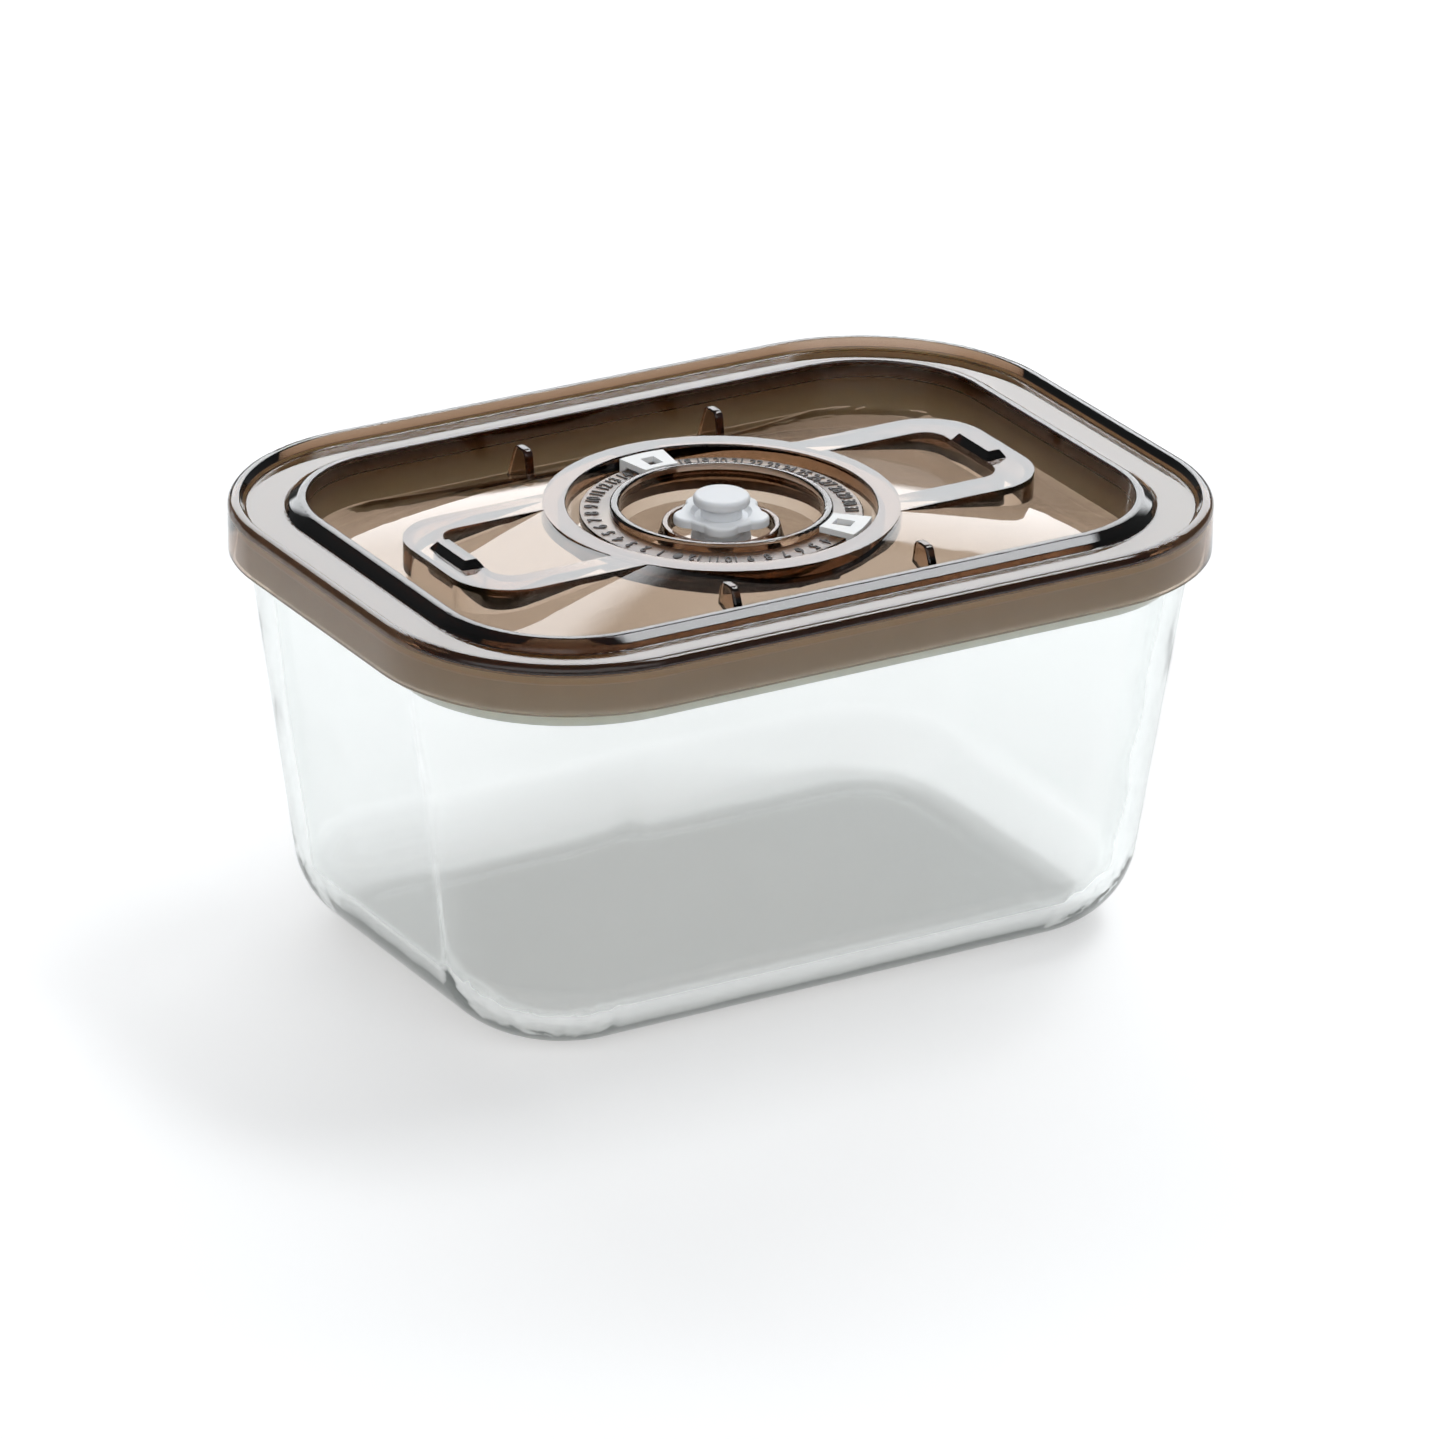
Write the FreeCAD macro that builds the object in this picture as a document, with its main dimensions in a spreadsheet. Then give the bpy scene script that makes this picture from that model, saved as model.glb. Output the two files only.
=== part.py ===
"""Vacuum seal canister: a glass box under a transparent lid with a vent valve and a date dial.

The origin is at the middle of the underside, on the table. X runs along the long side, Z is up.
Heights on the lid are measured down from the crest, the flat top of its outer rim.
"""
import FreeCAD, Part
import math
import os
import Sketcher

Vector = FreeCAD.Vector

SIZES = [
    ("lid_length", 190.0, "outer length of the lid"),
    ("lid_width", 139.0, "outer width of the lid"),
    ("lid_corner", 42.0, "corner radius of the lid in plan"),
    ("crest_height", 95.0, "table to the crest of the outer rim"),
    ("skirt_drop", 10.7, "crest to the lower edge of the skirt"),
    ("skirt_wall", 1.4, "thickness of the skirt"),
    ("crest_width", 2.4, "outline to the inner edge of the crest"),
    ("crest_round", 1.7, "rounding of the crest's outer edge"),
    ("crest_slope", 1.45, "plan width of the slope from crest to channel"),
    ("channel_width", 7.85, "flat width of the channel"),
    ("channel_depth", 2.35, "crest to channel floor"),
    ("plate_wall", 1.95, "thickness under the channel"),
    ("lip_slope", 2.9, "plan width of the slope from channel to lip"),
    ("lip_foot", 0.85, "plan width of the steep foot of that slope"),
    ("lip_foot_rise", 1.2, "height of the steep foot of that slope"),
    ("lip_round", 1.2, "rounding of the slope's shoulder and upper edge"),
    ("lip_width", 1.6, "flat width of the inner lip"),
    ("lip_rise", 0.05, "inner lip above the crest"),
    ("rim_round", 0.45, "rounding of the rim's other edges"),
    ("channel_round", 0.8, "rounding at the foot of the channel's slopes"),
    ("groove_drop", 2.6, "crest to the top of the gasket's groove"),
    ("groove_width", 1.8, "width of the gasket's groove behind the skirt"),
    ("recess_depth", 10.0, "crest to the foot of the recess wall"),
    ("recess_draft", 0.6, "plan width of the recess wall's draft"),
    ("plug_wall", 2.0, "thickness of the recess wall at the lip"),
    ("shell_wall", 2.0, "thickness of the dome"),
    ("deck_drop", 2.0, "crest to the deck around the dial"),
    ("dome_length", 70.0, "length of the dome's level top"),
    ("dome_width", 60.0, "width of the dome's level top"),
    ("dome_corner", 24.0, "corner radius of the dome's level top"),
    ("handle_setback", 9.7, "foot of the recess wall to the end of a lifting bar"),
    ("handle_width", 43.0, "outer width of the lifting bars"),
    ("handle_corner", 13.0, "outer corner radius of the lifting bars"),
    ("side_bar", 7.5, "width of the side bars"),
    ("end_bar", 8.5, "width of the end bars"),
    ("hollow_length", 32.0, "length of each finger hollow, part of it under the boss"),
    ("hollow_corner", 5.0, "corner radius of the finger hollows"),
    ("nub_length", 14.0, "length of the wedge nub on each end bar"),
    ("nub_width", 5.0, "width of the wedge nub at its foot"),
    ("nub_rise", 1.7, "height of the wedge nub"),
    ("nub_angle", 35.0, "lean of the wedge nub's sides, degrees"),
    ("fin_spread", 46.0, "distance between fins along the lid"),
    ("fin_setback", 10.7, "foot of the recess wall to the middle of a stacking fin"),
    ("fin_length", 4.6, "length of a stacking fin at its top"),
    ("fin_inner_flare", 2.0, "how far a fin widens towards the middle, down to the lid's underside"),
    ("fin_outer_flare", 5.0, "how far a fin widens towards the wall, down to the lid's underside"),
    ("fin_crown", 1.7, "rounding of a fin's upper corners"),
    ("fin_wall", 2.0, "thickness of a stacking fin"),
    ("fin_drop", 0.15, "crest to the top of a stacking fin"),
    ("fin_round", 0.5, "rounding of a fin's edges"),
    ("boss_radius", 37.0, "outer radius of the deck around the dial"),
    ("boss_depth", 6.4, "crest to the underside of the boss"),
    ("well_radius", 32.2, "radius of the dial's well"),
    ("well_wall", 1.6, "thickness of the well's wall and floor"),
    ("gutter_drop", 7.4, "crest to the floor of the gutter"),
    ("ledge_radius", 29.4, "outer radius of the dial's ledge"),
    ("ledge_drop", 3.7, "crest to the top of the ledge"),
    ("ledge_wall", 1.6, "thickness of the ledge"),
    ("ledge_overhang", 2.2, "overhang of the ledge over the gutter"),
    ("collar_radius", 23.1, "outer radius of the pump collar"),
    ("collar_drop", 2.0, "crest to the top of the pump collar"),
    ("collar_wall", 1.9, "thickness of the pump collar"),
    ("collar_round", 0.7, "rounding of the pump collar's upper edges"),
    ("cup_drop", 9.7, "crest to the floor inside the pump collar"),
    ("cup_wall", 2.0, "thickness of the floor inside the pump collar"),
    ("seat_radius", 12.2, "outer radius of the valve seat at its rim"),
    ("seat_wall", 1.2, "thickness of the valve seat's rim"),
    ("seat_flare", 1.0, "flare of the valve seat at its foot"),
    ("seat_drop", 6.3, "crest to the rim of the valve seat"),
    ("stem_bore", 2.6, "radius of the hole for the valve's stem"),
    ("vent_radius", 1.0, "radius of an air hole under the valve"),
    ("vent_ring", 4.8, "distance of the air holes from the middle"),
    ("vent_count", 4, "number of air holes"),
    ("dial_round", 0.35, "rounding of the upper edges of well, ledge and seat"),
    ("cap_radius", 5.9, "radius of the valve's cap"),
    ("cap_drop", 0.1, "crest to the top of the cap"),
    ("cap_height", 2.3, "thickness of the cap"),
    ("cap_round", 0.9, "rounding of the cap's edges"),
    ("neck_radius", 4.3, "radius of the valve's neck"),
    ("moat_radius", 6.4, "outer radius of the dish around the neck"),
    ("moat_depth", 0.9, "depth of the dish around the neck"),
    ("flange_radius", 8.4, "radius of the flange between its lobes"),
    ("flange_drop", 3.9, "crest to the top of the flange"),
    ("flange_height", 1.8, "thickness of the flange"),
    ("lobe_ring", 6.6, "distance of the lobes from the middle"),
    ("lobe_radius", 3.6, "radius of a lobe"),
    ("lobe_count", 5, "number of lobes"),
    ("lobe_round", 0.6, "rounding of the lobes' upper edge"),
    ("valve_angle", 23.0, "how far the valve's lobes are turned from X, degrees"),
    ("plug_radius", 6.2, "radius of the valve's sealing foot"),
    ("plug_height", 0.8, "thickness of the valve's sealing foot"),
    ("stem_radius", 2.2, "radius of the valve's stem"),
    ("barb_radius", 3.8, "radius of the barb below the lid"),
    ("barb_gap", 2.0, "lift of the valve before its barb stops it"),
    ("barb_height", 2.4, "height of the barb"),
    ("slider_angle", 19.4, "angle that a slider spans on the dial, degrees"),
    ("slider_lift", 0.35, "ledge to the underside of a slider"),
    ("slider_wall", 1.3, "thickness of a slider"),
    ("slider_gap", 0.3, "clearance of a slider at collar and ledge"),
    ("slider_leg", 1.8, "thickness of a slider's outer leg"),
    ("hook_reach", 1.3, "reach of a slider's hook under the ledge"),
    ("hook_gap", 0.15, "clearance of a slider's hook under the ledge"),
    ("hook_height", 0.9, "height of a slider's hook"),
    ("window_length", 4.0, "radial length of a slider's window"),
    ("window_width", 3.2, "width of a slider's window"),
    ("window_ring", 26.9, "distance of the windows from the middle"),
    ("day_angle", 92.0, "where the day slider stands, degrees from X"),
    ("month_angle", -52.0, "where the month slider stands, degrees from X"),
    ("rim_drop", 7.2, "crest to the top of the glass rim"),
    ("bead_inset", 2.8, "lid outline to the glass bead"),
    ("bead_height", 3.1, "height of the glass bead"),
    ("bead_round", 1.0, "rounding of the glass bead"),
    ("neck_inset", 3.6, "lid outline to the glass wall at the rim"),
    ("foot_inset", 15.9, "lid outline to the glass wall carried down to the table"),
    ("glass_wall", 4.2, "thickness of the glass wall"),
    ("glass_base", 5.0, "thickness of the glass base"),
    ("foot_share", 0.755, "rounding outside, of the room that the corner leaves"),
    ("floor_share", 0.575, "rounding inside, of the room that the corner leaves"),
    ("base_share", 0.84, "how far in the rounded foot reaches, of the lid's corner radius"),
    ("gasket_inset", 1.7, "lid outline to the gasket"),
    ("gasket_width", 11.5, "width of the gasket"),
    ("key_gap", 0.3, "clearance of the gasket's key in its groove"),
    ("leg_width", 0.8, "width of the gasket's leg behind the skirt"),
    ("leg_lift", 0.3, "lower edge of the skirt to the end of the gasket's leg"),
    ("tongue_gap", 1.6, "glass wall to the gasket's tongue at the rim"),
    ("tongue_width", 1.9, "width of the gasket's tongue"),
    ("tongue_drop", 8.5, "gasket tongue below the glass rim"),
]

doc = FreeCAD.newDocument("canister")
sheet = doc.addObject("Spreadsheet::Sheet", "Sizes")
for row, (name, number, note) in enumerate(SIZES, 1):
    sheet.set("A%d" % row, name)
    sheet.set("B%d" % row, str(number))
    sheet.setAlias("B%d" % row, name)
    sheet.set("C%d" % row, note)
doc.recompute()


class Size:
    """A size with the sheet's formula for it."""

    def __init__(self, text, value):
        self.text = text
        self.value = value

    def join(self, other, sign, value):
        return Size("(%s %s %s)" % (self.text, sign, other.text), value)

    def __add__(self, other):
        return self.join(other, "+", self.value + other.value)

    def __sub__(self, other):
        return self.join(other, "-", self.value - other.value)

    def __mul__(self, other):
        return self.join(other, "*", self.value * other.value)

    def __truediv__(self, share):
        return Size("(%s / %r)" % (self.text, share), self.value / share)

    def __neg__(self):
        return Size("(0 - %s)" % self.text, -self.value)


def size(name):
    return Size("Sizes." + name, float(sheet.get(name)))


def bind(thing, field, amount):
    thing.setExpression(field, amount.text)


def make_body(label):
    body = doc.addObject("PartDesign::Body", label)
    body.Label = label
    return body


def origin_part(body, role):
    return next(part for part in body.Origin.OriginFeatures if part.Role == role)


def sketch_on(body, name, role="XY_Plane", height=None):
    sketch = body.newObject("Sketcher::SketchObject", name)
    sketch.AttachmentSupport = [(origin_part(body, role), "")]
    sketch.MapMode = "FlatFace"
    if height is not None:
        sketch.AttachmentOffset = FreeCAD.Placement(Vector(0, 0, height.value), FreeCAD.Rotation())
        bind(sketch, "AttachmentOffset.Base.z", height)
    return sketch


def measure(sketch, kind, *where_and_size):
    *where, amount = where_and_size
    index = sketch.addConstraint(Sketcher.Constraint(kind, *where, amount.value))
    bind(sketch, "Constraints[%d]" % index, amount)


def pin(sketch, line, end, x, y):
    measure(sketch, "DistanceX", -1, 1, line, end, x)
    measure(sketch, "DistanceY", -1, 1, line, end, y)


def polygon(sketch, corners):
    """A closed outline whose corners are held by their two coordinates."""
    points = [Vector(x.value, y.value, 0) for x, y in corners]
    first = sketch.GeometryCount
    for start, end in zip(points, points[1:] + points[:1]):
        sketch.addGeometry(Part.LineSegment(start, end))
    count = len(points)
    for step in range(count):
        following = (step + 1) % count
        sketch.addConstraint(Sketcher.Constraint("Coincident", first + step, 2, first + following, 1))
    for step, (x, y) in enumerate(corners):
        pin(sketch, first + step, 1, x, y)


def rounded(sketch, half_x, half_y, corner, middle=None):
    """A rounded rectangle about the origin or a point on X, its arcs held by centre and radius."""
    x0 = middle.value if middle else 0.0
    reach_x = half_x - corner
    reach_y = half_y - corner
    first = sketch.GeometryCount
    turn = math.pi / 2
    signs = [(1, 1), (-1, 1), (-1, -1), (1, -1)]
    centres = []
    for quarter, (sx, sy) in enumerate(signs):
        centre = Vector(x0 + sx * reach_x.value, sy * reach_y.value, 0)
        centres.append(centre)
        circle = Part.Circle(centre, Vector(0, 0, 1), corner.value)
        sketch.addGeometry(Part.ArcOfCircle(circle, quarter * turn, (quarter + 1) * turn))
    for quarter in range(len(signs)):
        following = (quarter + 1) % len(signs)
        angle = (quarter + 1) * turn
        offset = Vector(corner.value * math.cos(angle), corner.value * math.sin(angle), 0)
        sketch.addGeometry(Part.LineSegment(centres[quarter] + offset, centres[following] + offset))
    for quarter, (sx, sy) in enumerate(signs):
        following = (quarter + 1) % len(signs)
        arc, line = first + quarter, first + len(signs) + quarter
        sketch.addConstraint(Sketcher.Constraint("Tangent", arc, 2, line, 1))
        sketch.addConstraint(Sketcher.Constraint("Tangent", line, 2, first + following, 1))
    for quarter, (sx, sy) in enumerate(signs):
        x = reach_x if sx > 0 else -reach_x
        y = reach_y if sy > 0 else -reach_y
        pin(sketch, first + quarter, 3, middle + x if middle else x, y)
        measure(sketch, "Radius", first + quarter, corner)


def disc(sketch, radius, x=None):
    centre = Vector(x.value if x else 0.0, 0, 0)
    index = sketch.addGeometry(Part.Circle(centre, Vector(0, 0, 1), radius.value))
    if x is None:
        sketch.addConstraint(Sketcher.Constraint("Coincident", index, 3, -1, 1))
    else:
        measure(sketch, "DistanceX", -1, 1, index, 3, x)
        sketch.addConstraint(Sketcher.Constraint("PointOnObject", index, 3, -1))
    measure(sketch, "Radius", index, radius)


def box_at(sketch, x, y, half_x, half_y):
    polygon(sketch, [(x - half_x, y - half_y), (x + half_x, y - half_y),
                     (x + half_x, y + half_y), (x - half_x, y + half_y)])


def pad(body, sketch, name, length):
    feature = body.newObject("PartDesign::Pad", name)
    feature.Profile = sketch
    feature.Length = length.value
    bind(feature, "Length", length)
    return feature


def pocket_up(body, sketch, name, length):
    feature = body.newObject("PartDesign::Pocket", name)
    feature.Profile = sketch
    feature.Reversed = True
    feature.Length = length.value
    bind(feature, "Length", length)
    return feature


def revolve(body, sketch, name, kind="PartDesign::Revolution"):
    feature = body.newObject(kind, name)
    feature.Profile = sketch
    feature.ReferenceAxis = (sketch, ["V_Axis"])
    feature.Angle = 360.0
    return feature


def loft(body, lower, upper, name, kind="PartDesign::AdditiveLoft"):
    feature = body.newObject(kind, name)
    feature.Profile = lower
    feature.Sections = [upper]
    feature.Ruled = True
    return feature


def sweep(body, profile, path, name):
    """A profile carried round a closed level path, kept upright."""
    feature = body.newObject("PartDesign::AdditivePipe", name)
    feature.Profile = profile
    feature.Spine = path
    feature.Mode = "Frenet"
    return feature


def ring_of(body, feature, name, count):
    pattern = body.newObject("PartDesign::PolarPattern", name)
    pattern.Originals = [feature]
    pattern.Axis = (origin_part(body, "Z_Axis"), [""])
    pattern.Angle = 360.0
    pattern.Occurrences = int(count.value)
    bind(pattern, "Occurrences", count)
    body.Tip = pattern
    return pattern


def fillet(body, base, names, name, radius):
    feature = body.newObject("PartDesign::Fillet", name)
    feature.Base = (base, names)
    feature.Radius = radius.value
    bind(feature, "Radius", radius)
    return feature


def turn_body(body, angle):
    """Turns a finished body about Z."""
    body.Placement = FreeCAD.Placement(Vector(0, 0, 0), FreeCAD.Rotation(Vector(0, 0, 1), angle.value))
    bind(body, "Placement.Rotation.Angle", angle)


def inset_of(point):
    """Distance of a point inside the lid's outline."""
    half_x = half_length.value - size("lid_corner").value
    half_y = half_width.value - size("lid_corner").value
    over_x = abs(point.x) - half_x
    over_y = abs(point.y) - half_y
    outside = math.hypot(max(over_x, 0.0), max(over_y, 0.0))
    inside = min(max(over_x, over_y), 0.0)
    return size("lid_corner").value - outside - inside


def edges_at(feature, level, keep):
    """Names of the level edges at one height whose middle point passes a test."""
    close = 0.02
    names = []
    for number, edge in enumerate(feature.Shape.Edges, 1):
        middle = edge.valueAt((edge.FirstParameter + edge.LastParameter) / 2)
        points = [middle] + [vertex.Point for vertex in edge.Vertexes]
        if all(abs(point.z - level.value) < close for point in points) and keep(middle):
            names.append("Edge%d" % number)
    return names


def ring_edges(feature, places):
    """Names of the circular edges about Z at the given radii and heights."""
    close = 0.02
    names = []
    for radius, level in places:
        names += edges_at(feature, level, lambda p: abs(math.hypot(p.x, p.y) - radius.value) < close)
    return names


def rim_edges(feature, places):
    """Names of the edges that run round the rim at the given insets and heights."""
    close = 0.02
    names = []
    for number, edge in enumerate(feature.Shape.Edges, 1):
        middle = edge.valueAt((edge.FirstParameter + edge.LastParameter) / 2)
        points = [middle] + [vertex.Point for vertex in edge.Vertexes]
        for inset, height in places:
            level = all(abs(point.z - height.value) < close for point in points)
            if level and all(abs(inset_of(point) - inset.value) < close for point in points):
                names.append("Edge%d" % number)
    return names


zero = Size("0", 0.0)
crest = size("crest_height")
half_length = size("lid_length") / 2
half_width = size("lid_width") / 2

# Insets of the rim's lines from the lid's outline, outside to inside.
crest_inner = size("crest_width")
channel_outer = crest_inner + size("crest_slope")
channel_inner = channel_outer + size("channel_width")
lip_shoulder = channel_inner + size("lip_foot")
lip_outer = channel_inner + size("lip_slope")
lip_inner = lip_outer + size("lip_width")
recess_foot = lip_inner + size("recess_draft")
plug_outer = lip_inner - size("plug_wall")
groove_inner = size("skirt_wall") + size("groove_width")

# Heights of the lid's surfaces above the table.
skirt_end = crest - size("skirt_drop")
channel_floor = crest - size("channel_depth")
plate_under = channel_floor - size("plate_wall")
lip_top = crest + size("lip_rise")
shoulder_level = channel_floor + size("lip_foot_rise")
groove_top = crest - size("groove_drop")
foot_level = crest - size("recess_depth")
lid_bottom = foot_level - size("shell_wall")
deck = crest - size("deck_drop")


def outline(sketch, inset):
    rounded(sketch, half_length - inset, half_width - inset, size("lid_corner") - inset)


def inset_profile(sketch, corners):
    """A profile drawn in the long upright plane at the lid's end; corners are insets and heights."""
    polygon(sketch, [(half_length - inset, height) for inset, height in corners])


def rim_path(body, name, level):
    """The lid's outline as a path that starts in the middle of the end."""
    path = sketch_on(body, name, "XY_Plane", level)
    outline(path, zero)
    return path


# Lid: the rim first, one profile carried round the outline.
lid = make_body("lid_shell")
lid_path = rim_path(lid, "lid_path", crest)
rim_profile = sketch_on(lid, "rim_profile", "XZ_Plane")
inset_profile(rim_profile, [
    (zero, skirt_end),
    (zero, crest),
    (crest_inner, crest),
    (channel_outer, channel_floor),
    (channel_inner, channel_floor),
    (lip_shoulder, shoulder_level),
    (lip_outer, lip_top),
    (lip_inner, lip_top),
    (recess_foot, foot_level),
    (recess_foot, lid_bottom),
    (plug_outer, lid_bottom),
    (plug_outer, plate_under),
    (groove_inner, plate_under),
    (groove_inner, groove_top),
    (size("skirt_wall"), groove_top),
    (size("skirt_wall"), skirt_end),
])
rim = sweep(lid, rim_profile, lid_path, "rim")
doc.recompute()

crest_edges = rim_edges(rim, [(zero, crest)])
crest_soft = fillet(lid, rim, crest_edges, "crest_soft", size("crest_round"))
doc.recompute()
shoulder_edges = rim_edges(crest_soft, [(lip_shoulder, shoulder_level), (lip_outer, lip_top)])
lip_soft = fillet(lid, crest_soft, shoulder_edges, "lip_soft", size("lip_round"))
doc.recompute()
round_edges = rim_edges(lip_soft, [(crest_inner, crest), (lip_inner, lip_top)])
rim_soft = fillet(lid, lip_soft, round_edges, "rim_soft", size("rim_round"))
doc.recompute()
foot_edges = rim_edges(rim_soft, [(channel_outer, channel_floor), (channel_inner, channel_floor)])
channel_soft = fillet(lid, rim_soft, foot_edges, "channel_soft", size("channel_round"))
doc.recompute()

# Recess floor and the low dome on it.
floor_sketch = sketch_on(lid, "floor_outline", "XY_Plane", lid_bottom)
outline(floor_sketch, recess_foot - size("plug_wall") / 2)
floor = pad(lid, floor_sketch, "floor", size("shell_wall"))


def dome_pair(name, foot, top):
    lower = sketch_on(lid, name + "_foot", "XY_Plane", foot)
    outline(lower, recess_foot)
    upper = sketch_on(lid, name + "_top", "XY_Plane", top)
    rounded(upper, size("dome_length") / 2, size("dome_width") / 2, size("dome_corner"))
    return lower, upper


dome_lower, dome_upper = dome_pair("dome", foot_level, deck)
dome = loft(lid, dome_lower, dome_upper, "dome")

# Lifting bars, one long ring with a finger hollow at each end.
half_handle = half_length - recess_foot - size("handle_setback")
bars_sketch = sketch_on(lid, "bars_outline", "XY_Plane", lid_bottom)
rounded(bars_sketch, half_handle, size("handle_width") / 2, size("handle_corner"))
hollow_middle = half_handle - size("end_bar") - size("hollow_length") / 2
hollow_half = size("handle_width") / 2 - size("side_bar")
for middle in (hollow_middle, -hollow_middle):
    rounded(bars_sketch, size("hollow_length") / 2, hollow_half, size("hollow_corner"), middle)
bars = pad(lid, bars_sketch, "bars", deck - lid_bottom)

# Stacking fins beside the long walls, and a wedge nub on the inner half of each end bar.
fin_reach = half_width - recess_foot - size("fin_setback")
fin_top = crest - size("fin_drop")
fin_inner = fin_reach - size("fin_length") / 2
fin_outer = fin_reach + size("fin_length") / 2
for side, fin_x in (("right", size("fin_spread") / 2), ("left", size("fin_spread") / -2)):
    fins_sketch = sketch_on(lid, "fins_%s_outline" % side, "YZ_Plane", fin_x - size("fin_wall") / 2)
    polygon(fins_sketch, [
        (fin_inner - size("fin_inner_flare"), lid_bottom), (fin_outer + size("fin_outer_flare"), lid_bottom),
        (fin_outer, fin_top), (fin_inner, fin_top),
    ])
    polygon(fins_sketch, [
        (-fin_inner + size("fin_inner_flare"), lid_bottom), (-fin_inner, fin_top),
        (-fin_outer, fin_top), (-fin_outer - size("fin_outer_flare"), lid_bottom),
    ])
    fins = pad(lid, fins_sketch, "fins_%s" % side, size("fin_wall"))
doc.recompute()
recess_half = half_width - recess_foot


def on_fin_side(point):
    return abs(abs(point.x) - size("fin_spread").value / 2) > size("fin_wall").value / 4


def in_recess(point):
    return abs(point.y) < recess_half.value


crown_edges = edges_at(fins, fin_top, lambda point: in_recess(point) and not on_fin_side(point))
fins_crown = fillet(lid, fins, crown_edges, "fins_crown", size("fin_crown"))
doc.recompute()
side_edges = edges_at(fins_crown, fin_top, lambda point: in_recess(point) and on_fin_side(point))
fins_soft = fillet(lid, fins_crown, side_edges, "fins_soft", size("fin_round"))

nubs_sketch = sketch_on(lid, "nubs_outline", "XY_Plane", deck)
nub_middle = half_handle - size("end_bar") + size("nub_width") / 2
for middle in (nub_middle, -nub_middle):
    box_at(nubs_sketch, middle, zero, size("nub_width") / 2, size("nub_length") / 2)
nubs = pad(lid, nubs_sketch, "nubs", size("nub_rise"))
nubs.TaperAngle = -size("nub_angle").value
bind(nubs, "TaperAngle", -size("nub_angle"))

# Underside: everything below the dome's wall is open, and so are the bars.
under_lower, under_upper = dome_pair("under", lid_bottom, deck - size("shell_wall"))
under = loft(lid, under_lower, under_upper, "under", "PartDesign::SubtractiveLoft")

groove_sketch = sketch_on(lid, "bar_groove", "XY_Plane", lid_bottom)
wall = size("shell_wall")
rounded(groove_sketch, half_handle - wall, size("handle_width") / 2 - wall, size("handle_corner") - wall)
for middle in (hollow_middle, -hollow_middle):
    rounded(groove_sketch, size("hollow_length") / 2 + wall, hollow_half + wall,
            size("hollow_corner") + wall, middle)
groove = pocket_up(lid, groove_sketch, "bar_groove_cut", deck - wall - lid_bottom)

# The dial's well with its ledge, the pump collar and the valve seat, all turned about Z.
opening_sketch = sketch_on(lid, "well_outline", "XY_Plane", lid_bottom)
disc(opening_sketch, size("well_radius") + size("well_wall") / 2)
opening = pocket_up(lid, opening_sketch, "well_opening", crest - lid_bottom)

gutter = crest - size("gutter_drop")
gutter_under = gutter - size("well_wall")
ledge_top = crest - size("ledge_drop")
ledge_under = ledge_top - size("ledge_wall")
ledge_root = size("ledge_radius") - size("ledge_overhang")
collar_top = crest - size("collar_drop")
collar_inner = size("collar_radius") - size("collar_wall")
cup_floor = crest - size("cup_drop")
cup_under = cup_floor - size("cup_wall")
cup_outer = collar_inner + size("well_wall")
seat_rim = crest - size("seat_drop")
seat_inner = size("seat_radius") - size("seat_wall")
boss_under = crest - size("boss_depth")
well_outer = size("well_radius") + size("well_wall")

dial_sketch = sketch_on(lid, "dial_profile", "XZ_Plane")
polygon(dial_sketch, [
    (size("boss_radius"), deck),
    (size("well_radius"), deck),
    (size("well_radius"), gutter),
    (ledge_root, gutter),
    (ledge_root, ledge_under),
    (size("ledge_radius"), ledge_under),
    (size("ledge_radius"), ledge_top),
    (size("collar_radius"), ledge_top),
    (size("collar_radius"), collar_top),
    (collar_inner, collar_top),
    (collar_inner, cup_floor),
    (size("seat_radius") + size("seat_flare"), cup_floor),
    (size("seat_radius"), seat_rim),
    (seat_inner, seat_rim),
    (seat_inner, cup_floor),
    (size("stem_bore"), cup_floor),
    (size("stem_bore"), cup_under),
    (cup_outer, cup_under),
    (cup_outer, ledge_under),
    (ledge_root - size("well_wall"), ledge_under),
    (ledge_root - size("well_wall"), gutter_under),
    (well_outer, gutter_under),
    (well_outer, boss_under),
    (size("boss_radius"), boss_under),
])
dial = revolve(lid, dial_sketch, "dial")
doc.recompute()
dial_edges = ring_edges(dial, [
    (size("well_radius"), deck),
    (size("ledge_radius"), ledge_top),
    (size("seat_radius"), seat_rim),
    (seat_inner, seat_rim),
])
dial_soft = fillet(lid, dial, dial_edges, "dial_soft", size("dial_round"))
doc.recompute()
collar_edges = ring_edges(dial_soft, [(size("collar_radius"), collar_top), (collar_inner, collar_top)])
collar_soft = fillet(lid, dial_soft, collar_edges, "collar_soft", size("collar_round"))

vent_sketch = sketch_on(lid, "vent_outline", "XY_Plane", cup_under)
disc(vent_sketch, size("vent_radius"), size("vent_ring"))
vent = pocket_up(lid, vent_sketch, "vent", size("cup_wall"))
doc.recompute()
vents = ring_of(lid, vent, "vents", size("vent_count"))

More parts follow.
